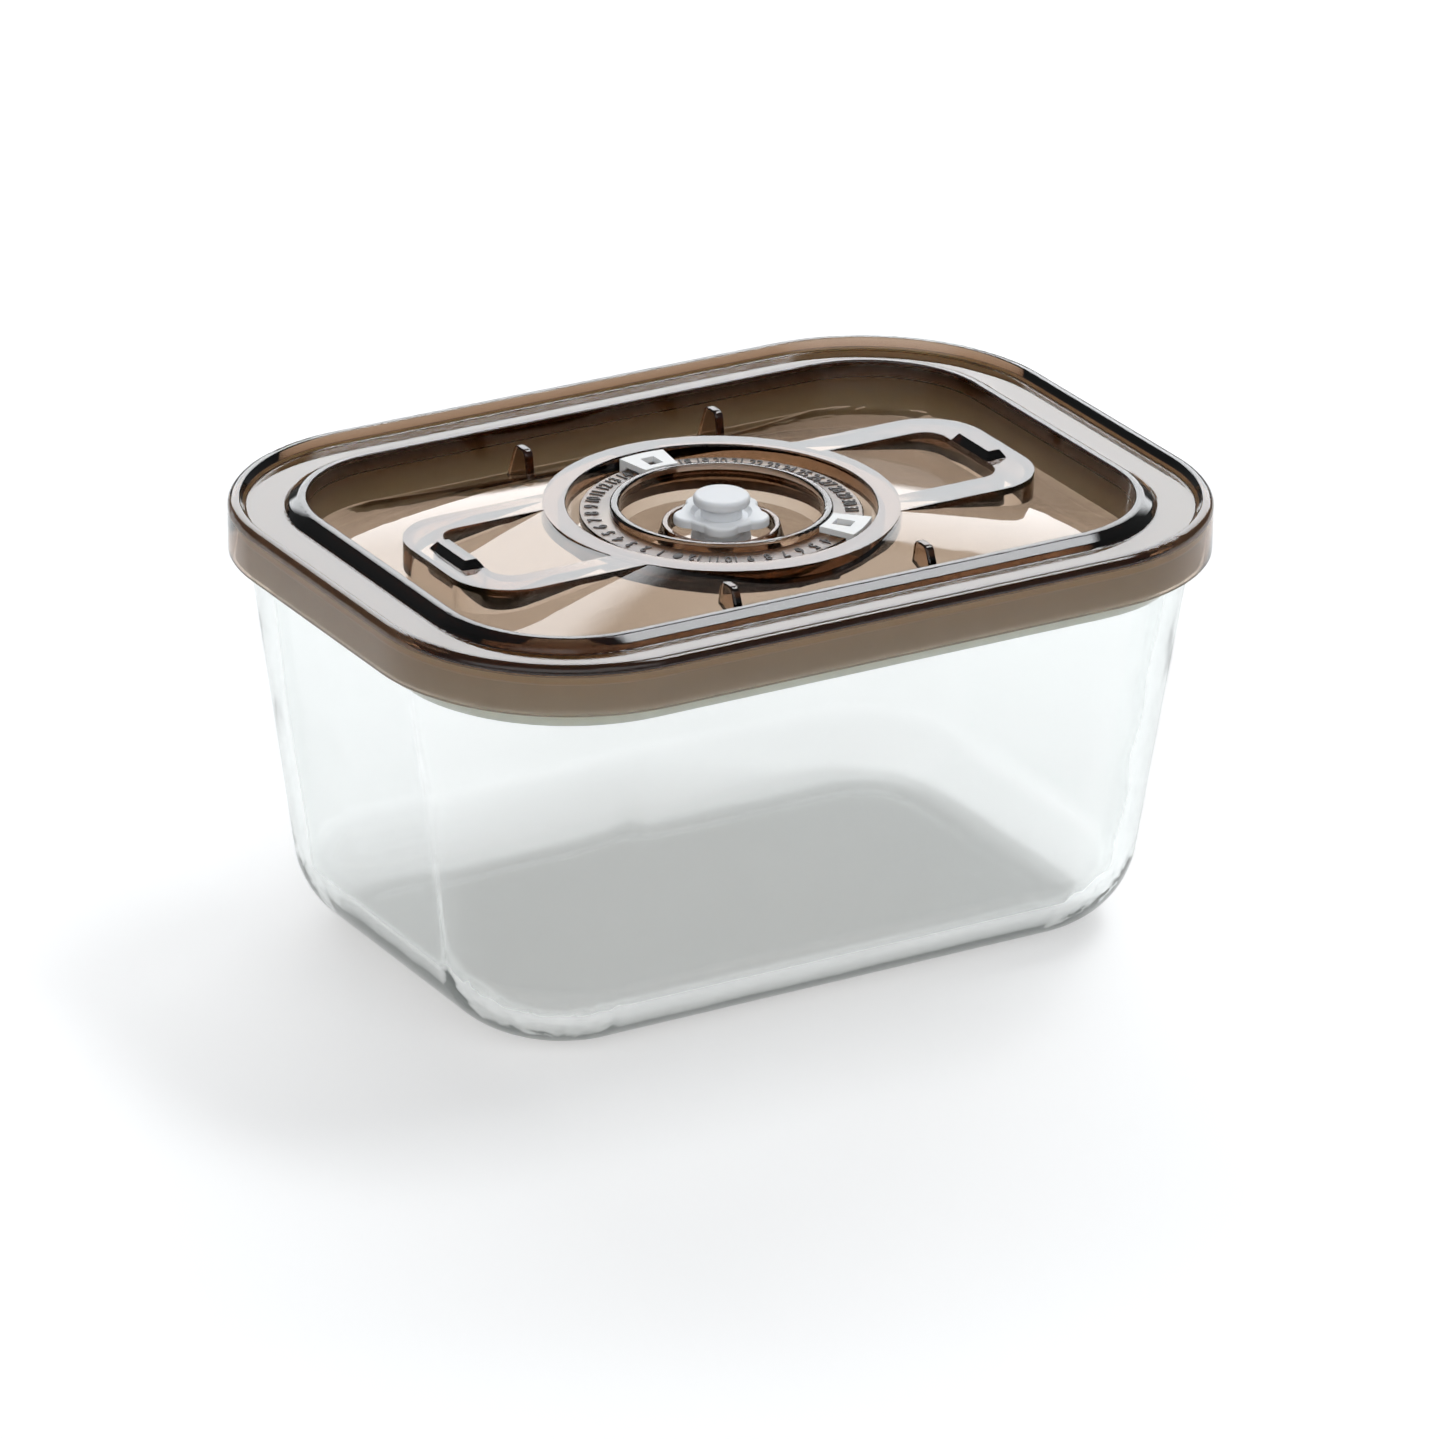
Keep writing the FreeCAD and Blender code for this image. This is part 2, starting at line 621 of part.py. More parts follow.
# Gasket: a flat ring with a key in the lid's groove, a leg, and a tongue that centres it inside the glass.
rim_top = crest - size("rim_drop")
inner_neck = size("neck_inset") + size("glass_wall")
gasket = make_body("rim_gasket")
gasket_path = rim_path(gasket, "gasket_path", crest)
gasket_profile = sketch_on(gasket, "gasket_profile", "XZ_Plane")
gasket_inner = size("gasket_inset") + size("gasket_width")
tongue_outer = inner_neck + size("tongue_gap")
tongue_inner = tongue_outer + size("tongue_width")
tongue_end = rim_top - size("tongue_drop")
leg_inner = size("gasket_inset") + size("leg_width")
key_inner = groove_inner - size("key_gap")
leg_end = skirt_end + size("leg_lift")
inset_profile(gasket_profile, [
    (size("gasket_inset"), groove_top),
    (key_inner, groove_top),
    (key_inner, plate_under),
    (gasket_inner, plate_under),
    (gasket_inner, rim_top),
    (tongue_inner, rim_top),
    (tongue_inner, tongue_end),
    (tongue_outer, tongue_end),
    (tongue_outer, rim_top),
    (leg_inner, rim_top),
    (leg_inner, leg_end),
    (size("gasket_inset"), leg_end),
])
sweep(gasket, gasket_profile, gasket_path, "gasket_ring")

# Glass: one wall profile carried round the outline, a slab that closes the base, and a bead at the rim.
room = size("lid_corner") - size("foot_inset")
foot_round = room * size("foot_share")
floor_round = room * size("floor_share")
base_inner = size("lid_corner") * size("base_share")
glass_base = size("glass_base")
lean = (size("foot_inset") - size("neck_inset")).value / rim_top.value
lean_angle = math.atan(lean)


def foot_arc(wall_inset, level, radius):
    """The arc between a leaning wall and a level floor, placed by its numbers and then held by the sketch."""
    height = level.value + radius.value
    inset = wall_inset.value - lean * height + radius.value / math.cos(lean_angle)
    circle = Part.Circle(Vector(half_length.value - inset, height, 0), Vector(0, 0, 1), radius.value)
    return Part.ArcOfCircle(circle, -math.pi / 2, -lean_angle)


def wall_profile(sketch):
    outer = foot_arc(size("foot_inset"), zero, foot_round)
    inner = foot_arc(size("foot_inset") + size("glass_wall"), glass_base, floor_round)
    rim_outer = Vector((half_length - size("neck_inset")).value, rim_top.value, 0)
    rim_inner = Vector((half_length - inner_neck).value, rim_top.value, 0)
    slab_low = Vector((half_length - base_inner).value, 0, 0)
    slab_high = Vector((half_length - base_inner).value, glass_base.value, 0)
    outer_wall = sketch.addGeometry(Part.LineSegment(rim_outer, outer.EndPoint))
    outer_arc = sketch.addGeometry(outer)
    under = sketch.addGeometry(Part.LineSegment(outer.StartPoint, slab_low))
    seam = sketch.addGeometry(Part.LineSegment(slab_low, slab_high))
    floor_line = sketch.addGeometry(Part.LineSegment(slab_high, inner.StartPoint))
    inner_arc = sketch.addGeometry(inner)
    inner_wall = sketch.addGeometry(Part.LineSegment(inner.EndPoint, rim_inner))
    top = sketch.addGeometry(Part.LineSegment(rim_inner, rim_outer))
    joints = [
        ("Tangent", outer_wall, 2, outer_arc, 2),
        ("Tangent", outer_arc, 1, under, 1),
        ("Coincident", under, 2, seam, 1),
        ("Coincident", seam, 2, floor_line, 1),
        ("Tangent", floor_line, 2, inner_arc, 1),
        ("Tangent", inner_arc, 2, inner_wall, 1),
        ("Coincident", inner_wall, 2, top, 1),
        ("Coincident", top, 2, outer_wall, 1),
        ("Horizontal", under),
        ("Horizontal", floor_line),
    ]
    for joint in joints:
        sketch.addConstraint(Sketcher.Constraint(*joint))
    pin(sketch, outer_wall, 1, half_length - size("neck_inset"), rim_top)
    pin(sketch, inner_wall, 2, half_length - inner_neck, rim_top)
    pin(sketch, seam, 1, half_length - base_inner, zero)
    pin(sketch, seam, 2, half_length - base_inner, glass_base)
    inner_foot = size("foot_inset") + size("glass_wall")
    for line, inset in ((outer_wall, size("foot_inset")), (inner_wall, inner_foot)):
        x = half_length - inset
        aim = sketch.addGeometry(Part.Point(Vector(x.value, 0, 0)), True)
        pin(sketch, aim, 1, x, zero)
        sketch.addConstraint(Sketcher.Constraint("PointOnObject", aim, 1, line))
    measure(sketch, "Radius", outer_arc, foot_round)
    measure(sketch, "Radius", inner_arc, floor_round)


glass = make_body("glass_bowl")
glass_path = rim_path(glass, "glass_path", crest)
glass_profile = sketch_on(glass, "glass_profile", "XZ_Plane")
wall_profile(glass_profile)
sweep(glass, glass_profile, glass_path, "glass_wall_ring")

slab_sketch = sketch_on(glass, "slab_outline", "XY_Plane")
outline(slab_sketch, base_inner - size("bead_round") / 2)
pad(glass, slab_sketch, "slab", glass_base)

bead_path = rim_path(glass, "bead_path", crest)
bead_profile = sketch_on(glass, "bead_profile", "XZ_Plane")
bead_root = size("neck_inset") + size("glass_wall") / 2
bead_low = rim_top - size("bead_height")
inset_profile(bead_profile, [
    (size("bead_inset") + size("bead_round"), rim_top),
    (bead_root, rim_top),
    (bead_root, bead_low),
    (size("bead_inset") + size("bead_round"), bead_low),
    (size("bead_inset"), bead_low + size("bead_round")),
    (size("bead_inset"), rim_top - size("bead_round")),
])
sweep(glass, bead_profile, bead_path, "bead")

# Valve: cap, neck, lobed flange, sealing foot, stem and barb.
valve = make_body("vent_valve")
cap_top = crest - size("cap_drop")
cap_under = cap_top - size("cap_height")
flange_top = crest - size("flange_drop")
flange_under = flange_top - size("flange_height")
plug_top = cup_floor + size("plug_height")
barb_top = cup_under - size("barb_gap")
barb_under = barb_top - size("barb_height")
core_sketch = sketch_on(valve, "core_profile", "XZ_Plane")
polygon(core_sketch, [
    (zero, cap_top),
    (size("cap_radius"), cap_top),
    (size("cap_radius"), cap_under),
    (size("neck_radius"), cap_under),
    (size("neck_radius"), flange_top - size("moat_depth")),
    (size("moat_radius") - size("moat_depth"), flange_top - size("moat_depth")),
    (size("moat_radius"), flange_top),
    (size("flange_radius"), flange_top),
    (size("flange_radius"), flange_under),
    (size("neck_radius"), flange_under),
    (size("neck_radius"), plug_top),
    (size("plug_radius"), plug_top),
    (size("plug_radius"), cup_floor),
    (size("stem_radius"), cup_floor),
    (size("stem_radius"), barb_top),
    (size("barb_radius"), barb_top),
    (size("stem_radius"), barb_under),
    (zero, barb_under),
])
core = revolve(valve, core_sketch, "core")
lobe_sketch = sketch_on(valve, "lobe_outline", "XY_Plane", flange_under)
disc(lobe_sketch, size("lobe_radius"), size("lobe_ring"))
lobe = pad(valve, lobe_sketch, "lobe", size("flange_height"))
doc.recompute()
lobes = ring_of(valve, lobe, "lobes", size("lobe_count"))
dish_sketch = sketch_on(valve, "dish_profile", "XZ_Plane")
polygon(dish_sketch, [
    (size("neck_radius"), flange_top - size("moat_depth")),
    (size("moat_radius") - size("moat_depth"), flange_top - size("moat_depth")),
    (size("moat_radius"), flange_top),
    (size("neck_radius"), flange_top),
])
dish = revolve(valve, dish_sketch, "dish", "PartDesign::Groove")
doc.recompute()
cap_edges = ring_edges(dish, [(size("cap_radius"), cap_top), (size("cap_radius"), cap_under)])
cap_soft = fillet(valve, dish, cap_edges, "cap_soft", size("cap_round"))
doc.recompute()
lobe_least = size("moat_radius") + size("lobe_round")
lobe_edges = edges_at(cap_soft, flange_top, lambda point: math.hypot(point.x, point.y) > lobe_least.value)
lobes_soft = fillet(valve, cap_soft, lobe_edges, "lobes_soft", size("lobe_round"))
turn_body(valve, size("valve_angle"))

# Sliders: a sector of plate over the ledge, an outer leg in the gutter, a hook under the ledge, a window.
plate_low = ledge_top + size("slider_lift")
plate_top = plate_low + size("slider_wall")
slider_inner = size("collar_radius") + size("slider_gap")
leg_inner = size("ledge_radius") + size("slider_gap")
leg_outer = leg_inner + size("slider_leg")
hook_top = ledge_under - size("hook_gap")


def slider(label, place):
    body = make_body(label)
    profile = sketch_on(body, label + "_profile", "XZ_Plane")
    polygon(profile, [
        (slider_inner, plate_low),
        (slider_inner, plate_top),
        (leg_outer, plate_top),
        (leg_outer, hook_top - size("hook_height")),
        (leg_inner - size("hook_reach"), hook_top - size("hook_height")),
        (leg_inner - size("hook_reach"), hook_top),
        (leg_inner, hook_top),
        (leg_inner, plate_low),
    ])
    sector = revolve(body, profile, label + "_sector")
    sector.Midplane = True
    sector.Angle = size("slider_angle").value
    bind(sector, "Angle", size("slider_angle"))
    window = sketch_on(body, label + "_window", "XY_Plane", plate_low)
    box_at(window, size("window_ring"), zero, size("window_length") / 2, size("window_width") / 2)
    pocket_up(body, window, label + "_opening", size("slider_wall"))
    turn_body(body, place)
    return body


day = slider("day_slider", size("day_angle"))
month = slider("month_slider", size("month_angle"))

doc.recompute()

for item in doc.Objects:
    if "Invalid" in item.State or "Error" in item.State:
        raise RuntimeError("%s did not build: %s" % (item.Label, item.State))

pieces = [glass, lid, gasket, valve, day, month]
for piece in pieces:
    if piece.Shape.isNull() or not piece.Shape.isValid() or len(piece.Shape.Solids) != 1:
        raise RuntimeError("%s is not one valid solid" % piece.Label)

os.makedirs("parts", exist_ok=True)
for piece in pieces:
    piece.Shape.exportStep("parts/%s.step" % piece.Label)
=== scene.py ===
"""Finishes, raised dial numbers, studio and camera for the vacuum canister. Metres throughout."""
import math

import bpy
from mathutils import Matrix, Vector


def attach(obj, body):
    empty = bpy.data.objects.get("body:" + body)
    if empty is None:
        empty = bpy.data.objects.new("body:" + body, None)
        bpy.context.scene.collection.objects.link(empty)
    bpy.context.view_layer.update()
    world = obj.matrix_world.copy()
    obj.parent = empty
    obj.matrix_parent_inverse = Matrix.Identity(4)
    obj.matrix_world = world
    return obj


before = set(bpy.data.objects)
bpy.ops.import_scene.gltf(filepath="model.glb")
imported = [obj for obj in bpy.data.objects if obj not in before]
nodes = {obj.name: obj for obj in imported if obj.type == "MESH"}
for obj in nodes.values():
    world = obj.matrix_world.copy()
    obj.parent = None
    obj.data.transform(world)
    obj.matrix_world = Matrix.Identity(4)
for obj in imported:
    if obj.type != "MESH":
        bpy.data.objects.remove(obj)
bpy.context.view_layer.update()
scene = bpy.context.scene

MM = 0.001
WHITE = (1.0, 1.0, 1.0, 1.0)

# Camera: a long lens, a little to the left and above.
CAMERA_AZIMUTH = math.radians(-31.022)
CAMERA_ELEVATION = math.radians(23.396)
CAMERA_ROLL = 0.0170973
CAMERA_LENS = 246.68
CAMERA_SENSOR = 36.0
CAMERA_AIM = Vector((-93.28, -155.96, 122.77)) * MM
CAMERA_DISTANCE = 1.8540

# Studio: a pale floor, and softboxes painted on the sky.
FLOOR_HALF_WIDTH = 6.0
FLOOR_DROP = 0.1 * MM
FLOOR_COLOUR = (0.78, 0.78, 0.78, 1.0)
FLOOR_LIFT = 0.42
SKY_BASE = 0.15
SKY_COLOUR = (0.955, 0.978, 1.0, 1.0)
BACKDROP_LOW = 0.05
BACKDROP_HIGH = 0.30
BACKDROP_TOP = 0.25
# Azimuth from +Y towards +X, elevation, half width, half height and soft edge in degrees, then strength.
BACK_BOX = (31.0, 27.0, 28.0, 15.0, 2.5, 4.1)
KEY_BOX = (85.0, 61.0, 12.0, 6.0, 3.0, 10.0)
FILL_BOX = (211.0, 34.0, 50.0, 20.0, 8.0, 1.4)

# Dial: 45 places of eight degrees, 31 days and 12 months with a mark between them.
DIAL_STEP = math.radians(8.0)
DAY_COUNT = 31
MONTH_COUNT = 12
DAY_MARK_ANGLE = math.radians(220.0)
MONTH_MARK_ANGLE = math.radians(-36.0)
LEDGE_TOP = 91.3 * MM
LEDGE_INNER = 23.1 * MM
LEDGE_OUTER = 29.4 * MM
LEDGE_SKIN = 0.05 * MM
LEDGE_FROST = 0.30
NUMBER_RING = 26.75 * MM
NUMBER_HEIGHT = 4.1 * MM
NUMBER_NARROWING = 0.74
NUMBER_WEIGHT = 0.03 * MM
NUMBER_RELIEF = 0.22 * MM
NUMBER_JOIN = 0.002 * MM
MARK_SIZE = (1.0 * MM, 1.6 * MM, 0.3 * MM)
MARK_SEGMENTS = 24
MARK_RINGS = 12
QUARTER_TURN = math.radians(90.0)

# Noise stays between these two for the most part.
NOISE_LOW = 0.3
NOISE_HIGH = 0.7
SMOOTH_DETAIL = 1.0
FINE_DETAIL = 3.0

# Polished faces: none of the roughness below the first level of the noise, all of it above the second.
HAZE_LEVELS = (0.35, 0.75)
HAZE_LIMIT = 0.02

# Glass: clear when seen straight on, with painted grey-green shade towards the edges where it is seen at a
# slant, and greener in the thick parts.
GLASS_FACE = (0.985, 0.99, 0.987, 1.0)
GLASS_EDGE_PAINTED_SHADE = (0.52, 0.59, 0.57, 1.0)
GLASS_PAINTED_SHADE_BLEND = 0.5
GLASS_PAINTED_SHADE_FADE = 3.0
GLASS_IOR = 1.52
GLASS_TINT = (0.28, 0.52, 0.46, 1.0)
GLASS_DENSITY = 6.0
GLASS_HAZE_SCALE = 60.0
GLASS_WAVE_SCALE = 45.0
GLASS_WAVE_DEPTH = 0.12 * MM
GLASS_WAVE_STRENGTH = 0.5
# Painted light: the glass gives out pale green light on rays from the camera that have turned more than this
# many times, standing in for light that runs on inside it.
GLASS_TURNS = 4
GLASS_PAINTED_GLOW = (0.90, 0.96, 0.93, 1.0)
GLASS_PAINTED_GLOW_STRENGTH = 0.07

# Smoke plastic: its colour comes from its thickness.
SMOKE_IOR = 1.5
SMOKE_TINT = (0.57, 0.385, 0.20, 1.0)
SMOKE_DENSITY = 720.0
SMOKE_HAZE_SCALE = 180.0
FLOW_SCALE = 70.0
FLOW_STRETCH = (1.0, 2.2, 1.0)
FLOW_DEPTH = 0.05 * MM
FLOW_STRENGTH = 0.12

# White mouldings: two shades that drift into each other, a satin grain, light a little way below the skin.
VALVE_WHITE = {
    "pale": (0.835, 0.845, 0.86, 1.0),
    "shade": (0.805, 0.815, 0.83, 1.0),
    "roughness": 0.55,
    "grain": 1500.0,
    "relief": 0.01 * MM,
    "depth": 0.8 * MM,
}
SLIDER_WHITE = {
    "pale": (0.88, 0.88, 0.87, 1.0),
    "shade": (0.85, 0.85, 0.84, 1.0),
    "roughness": 0.45,
    "grain": 2200.0,
    "relief": 0.008 * MM,
    "depth": 0.5 * MM,
}
SEAL_MILKY = {
    "pale": WHITE,
    "shade": WHITE,
    "roughness": 0.45,
    "grain": 900.0,
    "relief": 0.02 * MM,
    "depth": 4.0 * MM,
    "share": 1.0,
}
CLOUD_SCALE = 120.0
SATIN_SPECULAR = 0.25
SATIN_SPREAD = (-0.05, 0.07)
SATIN_PATCHES = 0.4
GRAIN_STRENGTH = 0.5
SKIN_SHARE = 0.25
SKIN_COLOUR_REACH = (1.0, 0.9, 0.8)

# Gasket: the leg below; the key in the lid's groove above, painted brighter and warmer for light that comes
# down through the lid's plate; and a painted highlight line where they meet.
LEG_SHADES = ((0.78, 0.78, 0.66, 1.0), (0.74, 0.74, 0.62, 1.0))
KEY_PAINTED_LIGHT_SHADES = ((0.99, 0.82, 0.54, 1.0), (0.96, 0.79, 0.51, 1.0))
SEAM_PAINTED_HIGHLIGHT = (0.95, 0.89, 0.73, 1.0)
KEY_FOOT = 90.7 * MM
PAINTED_HIGHLIGHT_WIDTH = 0.3 * MM
# The gasket is pressed this far into what it touches, so that no air shows between them.
GASKET_PRESS = 0.03 * MM

# Numbers: matt and dark.
NUMBER_SHADES = ((0.085, 0.081, 0.080, 1.0), (0.115, 0.110, 0.108, 1.0))
NUMBER_CLOUD_SCALE = 900.0
NUMBER_GRAIN_SCALE = 2500.0
NUMBER_ROUGHNESS = (0.42, 0.6)
NUMBER_SPECULAR = 0.15

# Neighbouring faces are joined for shading, except over edges sharper than this.
SEAM_GAP = 0.002 * MM
SHARP_EDGE = math.radians(25.0)


# Node helpers


def add_node(tree, kind, inputs=None, **settings):
    """A node with its settings and inputs; an input that is a socket is linked."""
    node = tree.nodes.new(kind)
    for name, value in settings.items():
        setattr(node, name, value)
    for key, value in (inputs or {}).items():
        if isinstance(value, bpy.types.NodeSocket):
            tree.links.new(value, node.inputs[key])
        else:
            node.inputs[key].default_value = value
    return node


def maths(tree, operation, first, second=0.0):
    return add_node(tree, "ShaderNodeMath", {0: first, 1: second}, operation=operation).outputs[0]


def map_range(tree, value, low, high, to_low, to_high, curve="LINEAR"):
    node = add_node(
        tree,
        "ShaderNodeMapRange",
        {"Value": value, "From Min": low, "From Max": high, "To Min": to_low, "To Max": to_high},
        interpolation_type=curve,
    )
    return node.outputs["Result"]


def within(tree, value, middle, half):
    """One where the value lies no further than half from the middle, and nought elsewhere."""
    distance = maths(tree, "ABSOLUTE", maths(tree, "SUBTRACT", value, middle))
    return maths(tree, "LESS_THAN", distance, half)


def object_noise(tree, scale, detail=2.0, stretch=(1.0, 1.0, 1.0)):
    """Noise fixed to the object; scale counts bumps in a metre."""
    place = add_node(tree, "ShaderNodeTexCoord").outputs["Object"]
    mapping = add_node(tree, "ShaderNodeMapping", {"Vector": place, "Scale": stretch})
    noise = add_node(
        tree, "ShaderNodeTexNoise", {"Vector": mapping.outputs["Vector"], "Scale": scale, "Detail": detail}
    )
    return noise.outputs["Fac"]


def drift(tree, scale, low=0.0, high=1.0):
    """A value that wanders from low to high over the object."""
    return map_range(tree, object_noise(tree, scale), NOISE_LOW, NOISE_HIGH, low, high)


def haze(tree, scale, detail=2.0):
    """The roughness of a polished face: none, with faint patches."""
    return map_range(tree, object_noise(tree, scale, detail), *HAZE_LEVELS, 0.0, HAZE_LIMIT)


def rise_of(tree, vector):
    return add_node(tree, "ShaderNodeSeparateXYZ", {"Vector": vector}).outputs["Z"]


def in_sight(tree, path):
    """One for a ray from the camera or out of a clear piece, and nought for the others."""
    return maths(tree, "MAXIMUM", path["Is Camera Ray"], path["Is Transmission Ray"])


def before_matt(tree, path):
    """One for a ray that has met nothing matt on its way from the camera."""
    return maths(tree, "LESS_THAN", path["Diffuse Depth"], 0.5)


def bump(tree, height, distance, strength):
    inputs = {"Height": height, "Distance": distance, "Strength": strength}
    return add_node(tree, "ShaderNodeBump", inputs).outputs["Normal"]


def blend_colours(tree, share, first, second):
    """A mix of two colours, whose sockets on the node are 6 and 7 with the result at 2."""
    return add_node(tree, "ShaderNodeMix", {0: share, 6: first, 7: second}, data_type="RGBA").outputs[2]


def find_node(tree, kind):
    return next(node for node in tree.nodes if node.type == kind)


def new_material(name):
    """A material with a plain Principled shader joined to its output."""
    material = bpy.data.materials.new(name)
    material.use_nodes = True
    tree = material.node_tree
    return material, tree, find_node(tree, "BSDF_PRINCIPLED")


def tint_inside(tree, colour, density):
    """Colours the light on its way through a clear piece."""
    tint = add_node(tree, "ShaderNodeVolumeAbsorption", {"Color": colour, "Density": density})
    tree.links.new(tint.outputs["Volume"], find_node(tree, "OUTPUT_MATERIAL").inputs["Volume"])


# Camera


def add_camera():
    right = Vector((math.cos(CAMERA_AZIMUTH), math.sin(CAMERA_AZIMUTH), 0.0))
    back = Vector((
        math.sin(CAMERA_AZIMUTH) * math.cos(CAMERA_ELEVATION),
        -math.cos(CAMERA_AZIMUTH) * math.cos(CAMERA_ELEVATION),
        math.sin(CAMERA_ELEVATION),
    ))
    up = back.cross(right)
    across = right * math.cos(CAMERA_ROLL) + up * math.sin(CAMERA_ROLL)
    upward = up * math.cos(CAMERA_ROLL) - right * math.sin(CAMERA_ROLL)
    lens = bpy.data.cameras.new("photo_camera")
    lens.lens = CAMERA_LENS
    lens.sensor_fit = "HORIZONTAL"
    lens.sensor_width = CAMERA_SENSOR
    camera = bpy.data.objects.new("photo_camera", lens)
    turned = Matrix((across, upward, back)).transposed().to_4x4()
    camera.matrix_world = Matrix.Translation(CAMERA_AIM + back * CAMERA_DISTANCE) @ turned
    scene.collection.objects.link(camera)
    scene.camera = camera


# Studio


def softbox(tree, direction, azimuth, elevation, half_width, half_height, softness, strength):
    """Light from a soft rectangle on the sky; angles in degrees, azimuth counted from +Y towards +X."""
    azimuth = math.radians(azimuth)
    elevation = math.radians(elevation)
    centre = Vector((
        math.sin(azimuth) * math.cos(elevation),
        math.cos(azimuth) * math.cos(elevation),
        math.sin(elevation),
    ))
    sideways = Vector((math.cos(azimuth), -math.sin(azimuth), 0.0))
    rising = sideways.cross(centre)

    def share(axis, half_angle):
        along = add_node(tree, "ShaderNodeVectorMath", {0: direction, 1: axis}, operation="DOT_PRODUCT")
        ahead = add_node(tree, "ShaderNodeVectorMath", {0: direction, 1: centre}, operation="DOT_PRODUCT")
        angle = maths(tree, "ARCTAN2", along.outputs["Value"], ahead.outputs["Value"])
        distance = maths(tree, "ABSOLUTE", angle)
        near = math.radians(half_angle - softness)
        far = math.radians(half_angle + softness)
        return map_range(tree, distance, near, far, 1.0, 0.0, "SMOOTHSTEP")

    both = maths(tree, "MULTIPLY", share(sideways, half_width), share(rising, half_height))
    return maths(tree, "MULTIPLY", both, strength)


def paint_sky():
    world = bpy.data.worlds.new("studio")
    scene.world = world
    world.use_nodes = True
    tree = world.node_tree
    tree.nodes.clear()
    direction = add_node(tree, "ShaderNodeTexCoord").outputs["Generated"]
    light = SKY_BASE
    for box in (BACK_BOX, KEY_BOX, FILL_BOX):
        light = maths(tree, "ADD", softbox(tree, direction, *box), light)
    lit = add_node(tree, "ShaderNodeBackground", {"Color": SKY_COLOUR, "Strength": light})
    rise = rise_of(tree, direction)
    backdrop = map_range(tree, rise, BACKDROP_LOW, BACKDROP_HIGH, 1.0, BACKDROP_TOP, "SMOOTHSTEP")
    plain = add_node(tree, "ShaderNodeBackground", {"Color": WHITE, "Strength": backdrop})
    path = add_node(tree, "ShaderNodeLightPath").outputs
    seen = maths(tree, "MULTIPLY", in_sight(tree, path), before_matt(tree, path))
    mix = add_node(
        tree, "ShaderNodeMixShader", {0: seen, 1: lit.outputs["Background"], 2: plain.outputs["Background"]}
    )
    add_node(tree, "ShaderNodeOutputWorld", {"Surface": mix.outputs["Shader"]})


def add_floor():
    """A pale floor that keeps the shadow and fades into the white of the sky."""
    material, tree, shader = new_material("pale_floor")
    shader.inputs["Base Color"].default_value = FLOOR_COLOUR
    shader.inputs["Roughness"].default_value = 1.0
    shader.inputs["Specular IOR Level"].default_value = 0.0
    path = add_node(tree, "ShaderNodeLightPath").outputs
    seen = maths(tree, "MAXIMUM", in_sight(tree, path), path["Is Glossy Ray"])
    shader.inputs["Emission Color"].default_value = WHITE
    tree.links.new(maths(tree, "MULTIPLY", seen, FLOOR_LIFT), shader.inputs["Emission Strength"])
    mesh = bpy.data.meshes.new("floor")
    half = FLOOR_HALF_WIDTH
    corners = ((-half, -half), (half, -half), (half, half), (-half, half))
    mesh.from_pydata([(x, y, -FLOOR_DROP) for x, y in corners], [], [(0, 1, 2, 3)])
    mesh.materials.append(material)
    floor = bpy.data.objects.new("floor", mesh)
    scene.collection.objects.link(floor)


# Finishes


def clear_glass():
    """Pressed glass: clear, a faint green in the thick parts, a slow waviness; painted grey-green shade
    towards the edges seen at a slant, and pale green light painted on rays that have turned many times inside
    it.
    """
    material, tree, shader = new_material("clear_glass")
    # Painted shade: the base colour turns grey-green where the glass is seen at a slant.
    facing = add_node(tree, "ShaderNodeLayerWeight", {"Blend": GLASS_PAINTED_SHADE_BLEND}).outputs["Facing"]
    edge = maths(tree, "POWER", facing, GLASS_PAINTED_SHADE_FADE)
    tree.links.new(blend_colours(tree, edge, GLASS_FACE, GLASS_EDGE_PAINTED_SHADE), shader.inputs["Base Color"])
    shader.inputs["Transmission Weight"].default_value = 1.0
    shader.inputs["IOR"].default_value = GLASS_IOR
    tree.links.new(haze(tree, GLASS_HAZE_SCALE), shader.inputs["Roughness"])
    wave = object_noise(tree, GLASS_WAVE_SCALE, SMOOTH_DETAIL)
    tree.links.new(bump(tree, wave, GLASS_WAVE_DEPTH, GLASS_WAVE_STRENGTH), shader.inputs["Normal"])
    # Painted light: pale green emission on deep rays that have met nothing matt.
    path = add_node(tree, "ShaderNodeLightPath").outputs
    painted_glow_mask = maths(tree, "GREATER_THAN", path["Ray Depth"], GLASS_TURNS)
    painted_glow = maths(tree, "MULTIPLY", painted_glow_mask, before_matt(tree, path))
    shader.inputs["Emission Color"].default_value = GLASS_PAINTED_GLOW
    tree.links.new(maths(tree, "MULTIPLY", painted_glow, GLASS_PAINTED_GLOW_STRENGTH), shader.inputs["Emission Strength"])
    tint_inside(tree, GLASS_TINT, GLASS_DENSITY)
    return material


